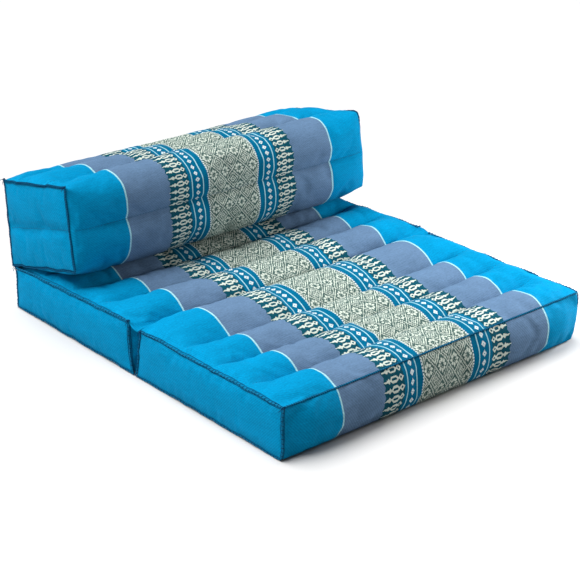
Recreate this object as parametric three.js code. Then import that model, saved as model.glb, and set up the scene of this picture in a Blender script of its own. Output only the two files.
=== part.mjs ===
// Thai folding floor cushion: two channelled seat blocks and a bolster folded onto the rear one.
// Millimetres, +X along the channels, +Y from the front edge to the back, +Z up, floor at Z = 0.
import * as THREE from 'three';

// Driving sizes
const WIDTH = 650;               // between the seams of the two end panels
const END_BULGE = 4;             // how far the filling pushes an end panel out
const STEPS_ALONG = 20;          // facets along the width, closer together near the end panels
const CROWN_REACH = 80;          // distance from an end panel at which a block is fully swollen
const GROOVE_START = 20;         // this near to an end panel a channel seam has not yet sunk in
const GROOVE_END = 65;           // from here on it has its full depth
const MERGED_SWELL = 0.35;       // share of its swell that a channel keeps beside an end panel
const HAIR_GAP = 0.3;            // clearance that each piece keeps to its neighbour
const TUBE_SQUARENESS = 0.28;    // below 1, a channel rises more steeply from its seams
const HINGE_CLOTH = 2.4;         // thickness of the doubled cloth at a hinge
const HINGE_SAG = 2;             // the front hinge hangs this far below the seams it joins
const PANEL_RINGS = [0.84, 0.5]; // sizes of the rings that dome an end panel

// Plane in which the bolster presses on the rear seat block
const PRESSED = { y: 600, z: 97, slope: -0.16 };

// Main colours of the cloth
const BLUE = 0x0b82b3;
const SHADED_BLUE = 0x0a6f9c;

// Section of each block in the middle of its width, walked round from the foot of its front.
// A row is a seam, or a round turn where the cloth wraps a corner, and the stretch that follows
// it: swell is how far that stretch stands out and facets is how many flats it has. endY and endZ
// place a corner on the end panel. The other rows meet the panel's straight edge between corners.
const FRONT_BLOCK = {
  slack: 0.4,                    // share of its swell that a channel has lost at mid width
  rows: [
    { y: 1, z: 3, swell: 20, facets: 6, endY: 1, endZ: 3 },
    { y: 0, z: 88, swell: 17, facets: 6, endY: 0, endZ: 89 },
    { y: 86, z: 80, swell: 20, facets: 6 },
    { y: 168, z: 79, swell: 20, facets: 6 },
    { y: 249, z: 79, swell: 26, facets: 6 },
    { y: 356, z: 82, swell: 3, facets: 4, endY: 347, endZ: 86 },
    { y: 361, z: 3, swell: 20, facets: 4, endY: 359, endZ: 3 },
    { y: 249, z: 7, swell: 22, facets: 4 },
    { y: 168, z: 7, swell: 22, facets: 4 },
    { y: 86, z: 7, swell: 22, facets: 4 },
  ],
};

const BACK_BLOCK = {
  slack: 0.4,
  rows: [
    { y: 373, z: 3, swell: 2, facets: 4, endY: 374, endZ: 3 },
    { y: 377, z: 82, swell: 25, facets: 6, endY: 382, endZ: 91 },
    { y: 458, z: 83, swell: 17, facets: 6 },
    { y: 541, z: 79, swell: 20, facets: 6 },
    { y: 628, z: 78, swell: 20, facets: 6 },
    { y: 716, z: 74, swell: 11, facets: 5, endY: 714, endZ: 77 },
    { y: 716, z: 3, swell: 20, facets: 4, endY: 716, endZ: 3 },
    { y: 628, z: 7, swell: 22, facets: 4 },
    { y: 541, z: 7, swell: 22, facets: 4 },
    { y: 458, z: 7, swell: 22, facets: 4 },
  ],
};

const BOLSTER = {
  slack: 0.2,
  rows: [
    { y: 525, z: 129, swell: 13, facets: 5, round: true, endY: 530, endZ: 129 },
    { y: 526, z: 199, swell: 10, facets: 5 },
    { y: 544, z: 268, swell: 7, facets: 5, round: true, endY: 548, endZ: 271 },
    { y: 608, z: 254, swell: 14, facets: 6 },
    { y: 698, z: 237, swell: 7, facets: 4 },
    { y: 738, z: 236, swell: 7, facets: 5, round: true, endY: 735, endZ: 231 },
    { y: 737, z: 153, swell: 9, facets: 5 },
    { y: 731, z: 82, swell: 5, facets: 4, round: true, endY: 725, endZ: 77 },
    { y: 698, z: 89, swell: 14, facets: 4 },
    { y: 608, z: 105, swell: 14, facets: 4 },
  ],
};

// Rows to which the two hinge strips are sewn
const FRONT_BLOCK_HINGE_ROW = 5;
const BACK_BLOCK_FRONT_ROW = 1;
const BACK_BLOCK_REAR_ROW = 5;
const BOLSTER_HINGE_ROW = 7;

// Places along the width, from one end panel's seam to the other's
const STATIONS = Array.from(
  { length: STEPS_ALONG + 1 },
  (_, index) => -0.5 * WIDTH * Math.cos(Math.PI * index / STEPS_ALONG),
);

// Distance from the nearer end panel's seam
function fromEnd(x) {
  return 0.5 * WIDTH - Math.abs(x);
}

// How swollen a block is at a place along its width: 0 at the end seams, 1 when full
function swollen(x) {
  const inwards = Math.min(fromEnd(x) / CROWN_REACH, 1);
  return Math.sqrt(1 - (1 - inwards) ** 2);
}

// Share of its full depth that a channel seam has at a place along the width
function grooved(x) {
  return THREE.MathUtils.smoothstep(fromEnd(x), GROOVE_START, GROOVE_END);
}

// Share of its swell that a channel has, because it slackens towards the middle of the width
function firmness(x, slack) {
  return 1 - slack * (1 - (2 * x / WIDTH) ** 2) ** 2;
}

// Direction that points out of a section, whose walk keeps the inside on its right
function outward(from, to) {
  const along = new THREE.Vector2().subVectors(to, from).normalize();
  return new THREE.Vector2(-along.y, along.x);
}

function isCorner(row) {
  return row.endY !== undefined;
}

// Where a row meets the end panel's edge
function endPoint(rows, index) {
  const count = rows.length;
  let before = index;
  while (!isCorner(rows[before])) {
    before = (before + count - 1) % count;
  }
  let after = index;
  while (!isCorner(rows[after])) {
    after = (after + 1) % count;
  }
  const start = rows[before];
  const finish = rows[after];
  const run = new THREE.Vector2(finish.y - start.y, finish.z - start.z);
  const walked = new THREE.Vector2(rows[index].y - start.y, rows[index].z - start.z);
  const share = before === after ? 0 : walked.dot(run) / run.lengthSq();
  return new THREE.Vector2(start.endY, start.endZ)
    .lerp(new THREE.Vector2(finish.endY, finish.endZ), share);
}

// Where a row lies at a place along the width, before the block narrows to its end panel
function seamPoint(rows, index, x) {
  const row = rows[index];
  const point = new THREE.Vector2(row.y, row.z);
  if (isCorner(row)) {
    return point;
  }
  const before = rows[(index + rows.length - 1) % rows.length];
  const after = rows[(index + 1) % rows.length];
  const way = outward(new THREE.Vector2(before.y, before.z), new THREE.Vector2(after.y, after.z));
  const depth = 0.5 * (before.swell + row.swell);
  return point.addScaledVector(way, depth * (1 - grooved(x)));
}

// Section of a block at a place along its width, as a ring of points
function sectionRing({ rows, slack }, x) {
  const count = rows.length;
  const seams = rows.map((row, index) => seamPoint(rows, index, x));
  const ends = rows.map((row, index) => endPoint(rows, index));
  const share = firmness(x, slack) * THREE.MathUtils.lerp(MERGED_SWELL, 1, grooved(x));
  const turn = (index) => new THREE.Vector2()
    .subVectors(seams[(index + 1) % count], seams[(index + count - 1) % count])
    .normalize();
  return rows.flatMap((row, index) => {
    const next = (index + 1) % count;
    const chord = new THREE.Vector2().subVectors(seams[next], seams[index]);
    const rise = outward(seams[index], seams[next]).multiplyScalar(4 * row.swell * share);
    const steep = chord.clone().multiplyScalar(TUBE_SQUARENESS);
    const leave = row.round ? turn(index).multiplyScalar(chord.length()) : steep.clone().add(rise);
    const arrive = rows[next].round ? turn(next).multiplyScalar(chord.length()) : steep.sub(rise);
    const arc = new THREE.CubicBezierCurve(
      seams[index],
      seams[index].clone().addScaledVector(leave, 1 / 3),
      seams[next].clone().addScaledVector(arrive, -1 / 3),
      seams[next],
    );
    return Array.from({ length: row.facets }, (_, step) => {
      const along = step / row.facets;
      return new THREE.Vector2()
        .lerpVectors(ends[index], ends[next], along)
        .lerp(arc.getPoint(along), swollen(x));
    });
  });
}

// Height of the pressed plane at a distance from the front edge
function pressedHeight(y) {
  return PRESSED.z + PRESSED.slope * (y - PRESSED.y);
}

// What a block's skin does where it lies on the floor, under the bolster or on the rear block
const rest = {
  onFloor: (point) => point.setY(Math.max(point.y, 0)),
  underBolster: (point) => {
    const limit = pressedHeight(point.x) - 0.5 * HAIR_GAP;
    return point.setY(THREE.MathUtils.clamp(point.y, 0, limit));
  },
  onRearBlock: (point) => point.setY(Math.max(point.y, pressedHeight(point.x) + 0.5 * HAIR_GAP)),
};

function blockRings(block, settle) {
  return STATIONS.map((x) => sectionRing(block, x).map(settle));
}

// First point of a row in a block's rings
function rowStart({ rows }, rowIndex) {
  return rows.slice(0, rowIndex).reduce((sum, row) => sum + row.facets, 0);
}

function toSpace(x, ring) {
  return ring.map((point) => new THREE.Vector3(x, point.x, point.y));
}

// Triangles between neighbouring rings that run from left to right. A strip's quads are split the
// other way, so that its face towards a block has the same flats as the block's skin beside it.
function ringFaces(ringCount, pointCount, isStrip) {
  const faces = [];
  for (let ring = 0; ring + 1 < ringCount; ring += 1) {
    for (let index = 0; index < pointCount; index += 1) {
      const here = ring * pointCount + index;
      const beside = ring * pointCount + (index + 1) % pointCount;
      const [ahead, across] = [here + pointCount, beside + pointCount];
      if (isStrip) {
        faces.push(here, ahead, beside, beside, ahead, across);
      } else {
        faces.push(here, across, beside, here, ahead, across);
      }
    }
  }
  return faces;
}

function toGeometry(points, faces) {
  const geometry = new THREE.BufferGeometry();
  geometry.setAttribute(
    'position',
    new THREE.Float32BufferAttribute(points.flatMap((point) => point.toArray()), 3),
  );
  geometry.setIndex(faces);
  geometry.computeVertexNormals();
  return geometry;
}

// Rings of one domed end panel, from its seam to near its middle, and the middle itself
function endPanel(ring, x) {
  const middle = ring
    .reduce((sum, point) => sum.add(point), new THREE.Vector2())
    .divideScalar(ring.length);
  const side = Math.sign(x);
  const rings = PANEL_RINGS.map((size) => {
    const points = ring.map((point) => new THREE.Vector2().lerpVectors(middle, point, size));
    return toSpace(x + side * END_BULGE * (1 - size ** 2), points);
  });
  return { rings, middle: new THREE.Vector3(x + side * END_BULGE, middle.x, middle.y) };
}

// A whole block: its rings along the width, closed by the two end panels
function blockGeometry(sections) {
  const left = endPanel(sections[0], STATIONS[0]);
  const right = endPanel(sections[STEPS_ALONG], STATIONS[STEPS_ALONG]);
  const along = sections.map((ring, index) => toSpace(STATIONS[index], ring));
  const rings = [...left.rings.reverse(), ...along, ...right.rings];
  const pointCount = sections[0].length;
  const faces = ringFaces(rings.length, pointCount, false);
  const points = [...rings.flat(), left.middle, right.middle];
  const lastRing = (rings.length - 1) * pointCount;
  for (let index = 0; index < pointCount; index += 1) {
    const beside = (index + 1) % pointCount;
    faces.push(points.length - 2, index, beside);
    faces.push(points.length - 1, lastRing + beside, lastRing + index);
  }
  return toGeometry(points, faces);
}

// A strip of hinge cloth: at each station a row of points on its outer face and one on its inner
function stripGeometry(stripSections) {
  const rings = stripSections.map(({ x, outer, inner }) => toSpace(x, [...outer, ...inner.reverse()]));
  const pointCount = rings[0].length;
  const faces = ringFaces(rings.length, pointCount, true);
  const lastRing = (rings.length - 1) * pointCount;
  for (let index = 0; index + 1 < 0.5 * pointCount; index += 1) {
    const across = pointCount - 1 - index;
    faces.push(index, index + 1, across - 1, index, across - 1, across);
    const [near, far] = [lastRing + index, lastRing + across];
    faces.push(near, far - 1, near + 1, near, far, far - 1);
  }
  return toGeometry(rings.flat(), faces);
}

// Point beside a ring's point, straight out from the skin
function standOff(ring, index, distance) {
  const before = ring[(index + ring.length - 1) % ring.length];
  const after = ring[(index + 1) % ring.length];
  return ring[index].clone().addScaledVector(outward(before, after), distance);
}

const frontRings = blockRings(FRONT_BLOCK, rest.onFloor);
const backRings = blockRings(BACK_BLOCK, rest.underBolster);
const bolsterRings = blockRings(BOLSTER, rest.onRearBlock);

// Stations of the hinge strips, which stop a little short of the end panels
const HINGE_STATIONS = STATIONS.map((x, index) => index).slice(1, -1);

// The seat's top cloth runs on over the joint between the two low blocks
function frontHingeGeometry() {
  const frontSeam = rowStart(FRONT_BLOCK, FRONT_BLOCK_HINGE_ROW);
  const backSeam = rowStart(BACK_BLOCK, BACK_BLOCK_FRONT_ROW);
  return stripGeometry(HINGE_STATIONS.map((station) => {
    const from = frontRings[station][frontSeam].clone();
    const to = backRings[station][backSeam].clone();
    from.x += 2 * HAIR_GAP;
    to.x -= 2 * HAIR_GAP;
    const middle = new THREE.Vector2().addVectors(from, to).multiplyScalar(0.5);
    middle.y -= HINGE_SAG;
    const lift = new THREE.Vector2(0, 0.5 * HINGE_CLOTH);
    const line = [from, middle, to];
    return {
      x: STATIONS[station],
      outer: line.map((point) => point.clone().add(lift)),
      inner: line.map((point) => point.clone().sub(lift)),
    };
  }));
}

// Behind, the cloth turns from the rear block's back up round the bolster's lower edge
function backHingeGeometry() {
  const blockSeam = rowStart(BACK_BLOCK, BACK_BLOCK_REAR_ROW);
  const bolsterTurn = rowStart(BOLSTER, BOLSTER_HINGE_ROW);
  return stripGeometry(HINGE_STATIONS.map((station) => {
    const line = (distance) => [
      standOff(bolsterRings[station], bolsterTurn - 1, distance),
      standOff(bolsterRings[station], bolsterTurn, distance),
      standOff(bolsterRings[station], bolsterTurn + 1, distance),
      standOff(backRings[station], blockSeam + 1, distance),
    ];
    return {
      x: STATIONS[station],
      outer: line(HAIR_GAP + HINGE_CLOTH),
      inner: line(HAIR_GAP),
    };
  }));
}

function cloth(color) {
  return new THREE.MeshStandardMaterial({ color, roughness: 0.85, metalness: 0 });
}

function piece(name, geometry, color) {
  const mesh = new THREE.Mesh(geometry, cloth(color));
  mesh.name = name;
  return mesh;
}

const cushion = new THREE.Group();
cushion.add(
  piece('front_block', blockGeometry(frontRings), BLUE),
  piece('back_block', blockGeometry(backRings), BLUE),
  piece('bolster', blockGeometry(bolsterRings), BLUE),
  piece('front_hinge', frontHingeGeometry(), SHADED_BLUE),
  piece('back_hinge', backHingeGeometry(), SHADED_BLUE),
);

// The origin is the middle of the footprint, on the floor
const extent = new THREE.Box3().setFromObject(cushion);
cushion.position.set(0, -0.5 * (extent.min.y + extent.max.y), 0);

export default cushion;
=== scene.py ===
import math
from collections import namedtuple

import bmesh
import bpy
import numpy as np
from bpy.props import FloatProperty, FloatVectorProperty, PointerProperty
from mathutils import Matrix, Vector, noise


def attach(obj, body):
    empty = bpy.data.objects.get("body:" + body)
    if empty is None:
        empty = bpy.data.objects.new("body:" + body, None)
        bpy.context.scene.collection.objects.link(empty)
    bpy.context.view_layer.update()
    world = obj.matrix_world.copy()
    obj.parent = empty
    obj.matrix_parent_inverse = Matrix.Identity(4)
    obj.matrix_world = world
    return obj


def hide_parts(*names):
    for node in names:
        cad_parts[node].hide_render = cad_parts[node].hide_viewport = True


bl_info = {
    "name": "Folding floor cushion",
    "version": (1, 0, 0),
    "blender": (4, 5, 0),
    "location": "View3D > Sidebar > Cushion",
    "description": "Dresses a channelled folding floor cushion over its packed frame",
    "category": "Object",
}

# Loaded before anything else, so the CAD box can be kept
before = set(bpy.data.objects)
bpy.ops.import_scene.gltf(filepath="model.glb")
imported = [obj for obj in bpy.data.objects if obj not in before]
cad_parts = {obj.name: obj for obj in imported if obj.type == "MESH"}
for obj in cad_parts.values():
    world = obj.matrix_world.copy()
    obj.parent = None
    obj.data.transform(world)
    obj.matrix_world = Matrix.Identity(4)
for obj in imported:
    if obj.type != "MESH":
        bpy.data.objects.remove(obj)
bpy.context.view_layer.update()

MM = 0.001

# Shape of the three blocks, in metres, as their CAD solids have it
WIDTH = 0.650               # between the seams of the two end panels
FRONT_EDGE = -0.363675      # where a section's y = 0 lies in the frame
END_BULGE = 0.004           # how far the filling pushes an end panel out
CROWN_REACH = 0.080         # distance from an end panel at which a block is fully swollen
GROOVE_START = 0.006        # this near to an end panel a channel seam has not yet sunk in
GROOVE_END = 0.052          # from here on it has its full depth
MERGED_SWELL = 0.35         # share of its swell that a channel keeps beside an end panel
MERGED_RISE = 0.42          # share of the swell by which its seam rises where it has merged
HAIR_GAP = 0.0003           # clearance that each piece keeps to its neighbour
TUBE_SQUARENESS = 0.28      # below 1, a channel rises more steeply from its seams
HINGE_CLOTH = 0.0024        # thickness of the doubled cloth at a hinge
HINGE_SAG = 0.002           # the front hinge hangs this far below the seams it joins
HINGE_SLACK = 0.1           # and further by this share of the joint's width
HINGE_RISE = 0.007          # but it is drawn up by this at its right-hand end
HINGE_RISE_REACH = 0.025    # over this length
HINGE_DROP = 0.0004         # it is sewn on this far under the seams
PRESSED_Y = 0.600           # a point of the plane in which the bolster presses on the rear block
PRESSED_Z = 0.097
PRESSED_SLOPE = -0.16
JOINT_Y = 0.3665            # where the two seat blocks meet

STATIONS = 96               # grid lines along the width of a block
CROWDING = 0.45             # how much closer together they lie towards the end panels
PATTERN_PLACE = 0.195       # the pattern is laid out along the section at this place
BAND_CENTRE = 0.007         # the woven bands lie this far off the middle of the width
PATTERN_PITCH = 0.013       # one fringe motif of the cloth before it is stretched over a block
PANEL_CLOTH_START = 0.420   # cloth of the end panels is taken from beyond the bands
EDGE_DRIFT = 0.0025         # how far the edge of an end panel wanders
DRIFT_SCALE = 22.0          # how often it wanders, to the metre
RIPPLE_SCALE = 90.0         # the same for its small ripples
EDGE_PULL = 0.0015          # how far a channel seam draws that edge in
PULL_STEPS = 2              # ring points beside a channel that are drawn in with it
PINCH_DEPTH = 1.3           # how far the seam across an end panel is drawn in, of its bulge
PINCH_WIDTH = 0.07          # half the width of that hollow, of the panel's height
EAR_REACH = 0.0035          # how far the corner of an end panel is drawn out
RIGHT_BULGE = 0.005         # how far the right-hand end bulges out halfway up
RIGHT_BULGE_DEPTH = 0.02    # how far in from that end the bulge begins
PANEL_GIVE = 0.35           # end panels are sewn tighter, and move by this share of the rest
FRONT_TUCK = 0.005          # how far the foot of the right-hand end's front edge is tucked in
EAR_STEPS = 2               # ring points beside a corner that are drawn out with it
PANEL_SHARPNESS = 0.7       # how sharp the edge of an end panel stays when the skin is refined
LEAST_SHARPNESS = 0.35      # the same for a channel seam that has not sunk in
CREASE_SHARPNESS = 0.8      # and for the seam across an end panel of the bolster
SEWN_DEPTH = 0.6            # share of its depth from which a channel seam is held by its stitches
SEAM_CORE = 0.0011          # radius of the folded edge inside an overlocked seam
SEAM_LOOP = 0.0015          # radius of the thread loops round that edge
SEAM_THREAD = 0.00042       # radius of the thread itself
CLOSE_PITCH = 0.0028        # distance from one loop to the next where they lie close together
WIDE_PITCH = 0.0072         # the same along the ends of the seat, where the cloth shows between
THREAD_WANDER = 0.0007      # how far a seam wavers from its line
WANDER_SEED = 11            # so it wavers the same way each time
SIDE_THREAD = 0.00036       # radius of the two threads that run beside a seam
WALL_THREAD_OFF = 0.0009    # how far the one on the wall stands off the cloth
PANEL_THREAD_OFF = 0.0008   # how far the one on the end panel does
PANEL_THREAD_IN = 0.35      # how far in it runs, of the first step of the panel's grid
STITCH_LENGTH = 0.0048      # a running stitch of a channel seam
STITCH_PITCH = 0.0060       # distance from one running stitch to the next
STITCH_THREAD = 0.00034     # radius of its thread
STITCH_TAPER = 0.45         # its thickness where it goes into the cloth, of that in the middle
STITCH_LIFT = 0.0002        # how far it stands proud of the seam
STITCH_CLEARANCE = 0.0008   # least height of its middle over the floor
FIRST_STITCH = 0.12         # share of its depth at which a seat channel gets its first stitch
PANEL_CREASE = 0.198        # the seam across an end panel of the bolster

# A row of a section is a seam, or a round turn where the cloth wraps a corner, and the stretch of
# cloth that follows it, walked round from the foot of the front. All lengths are in millimetres.
# end is where a corner sits on the end panel, and pull is how far one pattern repeat is drawn out.
Row = namedtuple("Row", "y z swell facets pull round end", defaults=(13.0, False, None))
Block = namedtuple("Block", "rows slack front_rows top_rows settle")
# Points, faces and cloth places of a block's closed skin, and how its grid is numbered
Skin = namedtuple("Skin", "points faces cloth count creases rims")

FRONT_ROWS = (
    Row(1, 3, 20, 16, 16.0, end=(1, 3)),
    Row(0, 88, 17, 16, 14.3, end=(0, 89)),
    Row(86, 80, 20, 16, 14.3),
    Row(168, 79, 20, 16, 14.3),
    Row(249, 79, 26, 16, 14.3),
    Row(364, 82, 2, 16, 14.3, end=(347, 86)),
    Row(361, 3, 20, 16, 14.3, end=(359, 3)),
    Row(249, 7, 22, 16, 14.3),
    Row(168, 7, 22, 16, 14.3),
    Row(86, 7, 22, 16, 14.3),
)
BACK_ROWS = (
    Row(373, 3, 2, 14, 14.3, end=(374, 3)),
    Row(369, 82, 25, 16, 14.3, end=(382, 91)),
    Row(458, 83, 17, 16, 14.3),
    Row(541, 79, 20, 16, 14.3),
    Row(628, 78, 20, 16, 14.3),
    Row(716, 74, 11, 14, 14.3, end=(714, 77)),
    Row(716, 3, 20, 16, 14.3, end=(716, 3)),
    Row(628, 7, 22, 16, 14.3),
    Row(541, 7, 22, 16, 14.3),
    Row(458, 7, 22, 16, 14.3),
)
BOLSTER_ROWS = (
    Row(525, 129, 13, 14, 12.0, True, (530, 129)),
    Row(526, 199, 10, 14, 12.0),
    Row(544, 268, 7, 16, 12.0, True, (548, 271)),
    Row(608, 254, 14, 18, 12.0),
    Row(698, 237, 7, 12, 12.0),
    Row(738, 236, 7, 14, 12.0, True, (735, 231)),
    Row(737, 153, 9, 14, 12.0),
    Row(731, 82, 5, 12, 12.0, True, (725, 77)),
    Row(698, 89, 14, 18, 12.0),
    Row(608, 105, 14, 16, 12.0),
)

# Skins and seam lines of the blocks that are already built, kept for the pieces sewn to them
built = {}
panel_creases = {}
panel_rims = {}


def smooth_step(value, start, end):
    share = np.clip((value - start) / (end - start), 0.0, 1.0)
    return share * share * (3.0 - 2.0 * share)


def from_end(x):
    """Distance from the nearer end panel's seam."""
    return 0.5 * WIDTH - abs(x)


def swollen(x):
    """How swollen a block is: 0 at the end seams, 1 when full."""
    inwards = min(from_end(x) / CROWN_REACH, 1.0)
    return math.sqrt(max(0.0, 1.0 - (1.0 - inwards) ** 2))


def grooved(x):
    """Share of its full depth that a channel seam has."""
    return float(smooth_step(from_end(x), GROOVE_START, GROOVE_END))


def pressed_height(y):
    """Height of the plane in which the bolster rests on the rear block."""
    return PRESSED_Z + PRESSED_SLOPE * (y - PRESSED_Y)


def on_floor(points):
    points[..., 0] = np.minimum(points[..., 0], JOINT_Y - HAIR_GAP)
    points[..., 1] = np.maximum(points[..., 1], 0.0)


def under_bolster(points):
    limit = pressed_height(points[..., 0]) - 0.5 * HAIR_GAP
    points[..., 0] = np.maximum(points[..., 0], JOINT_Y + HAIR_GAP)
    points[..., 1] = np.clip(points[..., 1], 0.0, limit)


def on_rear_block(points):
    limit = pressed_height(points[..., 0]) + 0.5 * HAIR_GAP
    points[..., 1] = np.maximum(points[..., 1], limit)


BLOCKS = {
    "front_block": Block(FRONT_ROWS, 0.4, 1, 5, on_floor),
    "back_block": Block(BACK_ROWS, 0.4, 1, 5, under_bolster),
    "bolster": Block(BOLSTER_ROWS, 0.2, 2, 5, on_rear_block),
}


def outward(run):
    """Direction out of a section, whose walk keeps the inside on its right."""
    return np.array([-run[1], run[0]]) / max(np.hypot(*run), 1e-9)


def end_points(rows):
    """Where each row meets the end panel's edge, which is straight between corners."""
    count = len(rows)
    found = []
    for index, row in enumerate(rows):
        before = index
        while rows[before].end is None:
            before = (before - 1) % count
        after = index
        while rows[after].end is None:
            after = (after + 1) % count
        start, finish = rows[before], rows[after]
        share = 0.0
        if before != after:
            run = np.array([finish.y - start.y, finish.z - start.z], float)
            walked = np.array([row.y - start.y, row.z - start.z], float)
            share = float(walked @ run / (run @ run))
        found.append((1.0 - share) * np.array(start.end, float) + share * np.array(finish.end))
    return np.array(found) * MM


def seam_points(rows, x):
    """Where the rows lie before the block narrows to its end panel."""
    count = len(rows)
    places = np.array([(row.y, row.z) for row in rows], float)
    moved = places.copy()
    for index, row in enumerate(rows):
        if row.end is None:
            way = outward(places[(index + 1) % count] - places[index - 1])
            moved[index] += way * MERGED_RISE * (rows[index - 1].swell + row.swell) * (1.0 - grooved(x))
    return moved * MM


def bezier(start, leave, arrive, finish, shares):
    rest = 1.0 - shares
    return (
        np.outer(rest**3, start)
        + np.outer(3 * rest**2 * shares, leave)
        + np.outer(3 * rest * shares**2, arrive)
        + np.outer(shares**3, finish)
    )


def section_ring(block, x, filling):
    """Section of a block at a place along its width, as a ring of points (y, z)."""
    rows = block.rows
    count = len(rows)
    seams = seam_points(rows, x)
    ends = end_points(rows)
    firmness = 1.0 - block.slack * (1.0 - (2.0 * x / WIDTH) ** 2) ** 2
    share = filling * firmness * (MERGED_SWELL + (1.0 - MERGED_SWELL) * grooved(x))
    stretches = []
    for index, row in enumerate(rows):
        after = (index + 1) % count
        chord = seams[after] - seams[index]
        length = float(np.hypot(*chord))
        rise = outward(chord) * 4.0 * row.swell * MM * share
        leave, arrive = chord * TUBE_SQUARENESS + rise, chord * TUBE_SQUARENESS - rise
        if row.round:
            turn = seams[after] - seams[index - 1]
            leave = turn / np.hypot(*turn) * length
        if rows[after].round:
            turn = seams[(after + 1) % count] - seams[index]
            arrive = turn / np.hypot(*turn) * length
        steps = np.arange(row.facets) / row.facets
        arc = bezier(
            seams[index], seams[index] + leave / 3, seams[after] - arrive / 3, seams[after], steps
        )
        edge = ends[index] + np.outer(steps, ends[after] - ends[index])
        stretches.append(edge + (arc - edge) * swollen(x))
    ring = np.concatenate(stretches)
    block.settle(ring)
    return ring


def station_places():
    """Places along the width, closer together near the end panels."""
    turn = np.linspace(0.0, math.pi, STATIONS)
    even = np.linspace(-1.0, 1.0, STATIONS)
    return 0.5 * WIDTH * ((1.0 - CROWDING) * even - CROWDING * np.cos(turn))


def row_starts(rows):
    return np.cumsum([0] + [row.facets for row in rows])


def pattern_lengths(block, ring):
    """Place along the cloth's repeat at the start and end of each step of a ring."""
    steps = np.linalg.norm(np.roll(ring, -1, axis=0) - ring, axis=1)
    pulls = np.concatenate([[row.pull * MM] * row.facets for row in block.rows])
    repeats = np.concatenate([[0.0], np.cumsum(steps / pulls)])
    places = repeats * PATTERN_PITCH
    return places[:-1], places[1:]


def panel_grid(ring, x, up, across, pinched):
    """Grid of points on an end panel, spanned between its four edges and domed."""
    side = math.copysign(1.0, x)
    left = ring[: up + 1]
    top = ring[up : up + across + 1]
    right = ring[up + across : 2 * up + across + 1][::-1]
    bottom = np.concatenate([ring[2 * up + across :], ring[:1]])[::-1]
    rise, along = np.linspace(0, 1, up + 1), np.linspace(0, 1, across + 1)
    v, u = np.meshgrid(rise, along, indexing="ij")
    v, u = v[..., None], u[..., None]
    spanned = (1 - u) * left[:, None] + u * right[:, None] + (1 - v) * bottom + v * top
    spanned -= (1 - u) * (1 - v) * ring[0] + u * (1 - v) * bottom[-1]
    spanned -= (1 - u) * v * top[0] + u * v * top[-1]
    dome = (1 - (2 * u - 1) ** 4) * (1 - (2 * v - 1) ** 4)
    if pinched:
        dome = dome * (1 - PINCH_DEPTH * np.exp(-(((v - 0.5) / PINCH_WIDTH) ** 2)))
    outwards = x + side * END_BULGE * dome
    return np.concatenate([outwards, spanned], axis=2)


# Share of EAR_REACH at each corner of an end panel, from the foot of the front up and round, for
# the left-hand and then the right-hand end
EARS = {
    "front_block": ((-1.0, 0.9, 0.6, 1.3), (-1.4, -1.2, 1.7, 1.3)),
    "back_block": ((1.3, 0.6, 1.0, 0.0), (1.3, 1.6, 0.6, -1.0)),
    "bolster": ((0.3, 0.6, 0.9, 0.3), (-0.8, -1.0, -0.6, 0.0)),
}


def draw_out_corners(name, block, ring, starts, side):
    """Draws an end panel's edge in at each channel and out at the corners, as hand sewing does."""
    middle = ring.mean(axis=0)
    count = len(ring)
    run = np.roll(ring, -1, axis=0) - np.roll(ring, 1, axis=0)
    way = np.stack([-run[:, 1], run[:, 0]], axis=1)
    way /= np.linalg.norm(way, axis=1, keepdims=True)
    for number, point in enumerate(ring.copy()):
        drift = noise.noise(Vector((*(point * DRIFT_SCALE), 5.0 * side)))
        ripple = noise.noise(Vector((*(point * RIPPLE_SCALE), 9.0 * side)))
        ring[number] += way[number] * (EDGE_DRIFT * drift + 0.3 * EDGE_DRIFT * ripple)
    for row, start in zip(block.rows, starts):
        if row.end is None:
            for step in range(-PULL_STEPS, PULL_STEPS + 1):
                number = (start + step) % count
                share = 1.0 - abs(step) / (PULL_STEPS + 1)
                ring[number] -= way[number] * EDGE_PULL * share
    if side > 0:
        foot = int(starts[block.front_rows])
        for number in range(foot):
            ring[number, 0] += FRONT_TUCK * (1.0 - (number / foot) ** 2)
    corners = [start for row, start in zip(block.rows, starts) if row.end is not None]
    for start, ear in zip(corners, EARS[name][0 if side < 0 else 1]):
        diagonal = ring[start] - middle
        diagonal /= np.linalg.norm(diagonal)
        for step in range(-EAR_STEPS, EAR_STEPS + 1):
            share = (1.0 - abs(step) / (EAR_STEPS + 1)) ** 2
            ring[(start + step) % count] += diagonal * EAR_REACH * ear * share
    block.settle(ring)


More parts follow.
